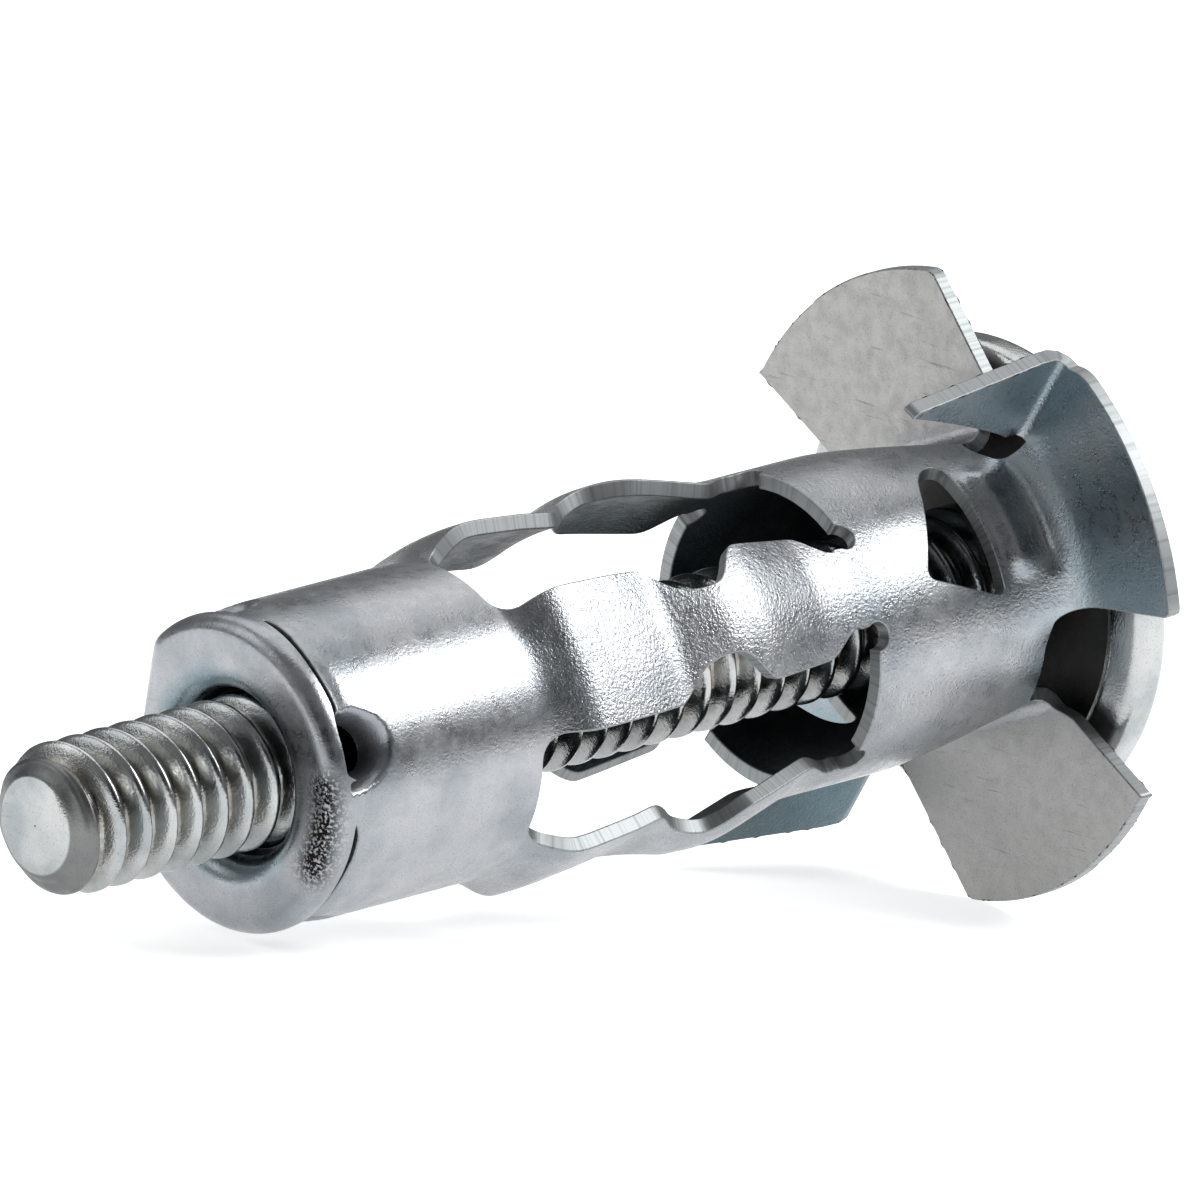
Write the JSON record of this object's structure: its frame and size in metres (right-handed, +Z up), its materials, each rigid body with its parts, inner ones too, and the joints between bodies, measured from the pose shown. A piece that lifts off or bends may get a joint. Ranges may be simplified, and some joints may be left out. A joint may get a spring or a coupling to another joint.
{
  "type": "hollow wall anchor",
  "caption": "Expanding metal wall anchor: slotted sheet sleeve with clawed flange, nut crimped in its nose and a truss-head machine screw.",
  "frame": {"origin": "centre of the bounding box on the surface that the anchor lies on", "axes": "+X runs from the screw's tip to its head and +Z is up; the axis rises towards the head, because the flange is wider than the nose"},
  "size_m": [0.0418, 0.0196, 0.0196],
  "materials": {
    "plated_sheet": "bright zinc plate over cold rolled sheet",
    "plated_nut": "bright zinc plate with a blue tint",
    "plated_screw": "bright zinc plate over rolled steel"
  },
  "bodies": {
    "anchor": {"sleeve": "plated_sheet", "nut": "plated_nut"},
    "machine_screw": {"screw": "plated_screw"}
  },
  "joints": [
    {"name": "screw_turn", "type": "hinge", "parent": "anchor", "child": "machine_screw", "pos_m": [-0.01332, 0, 0.00486], "axis": [0.9883, 0, 0.1524], "continuous": true}
  ]
}
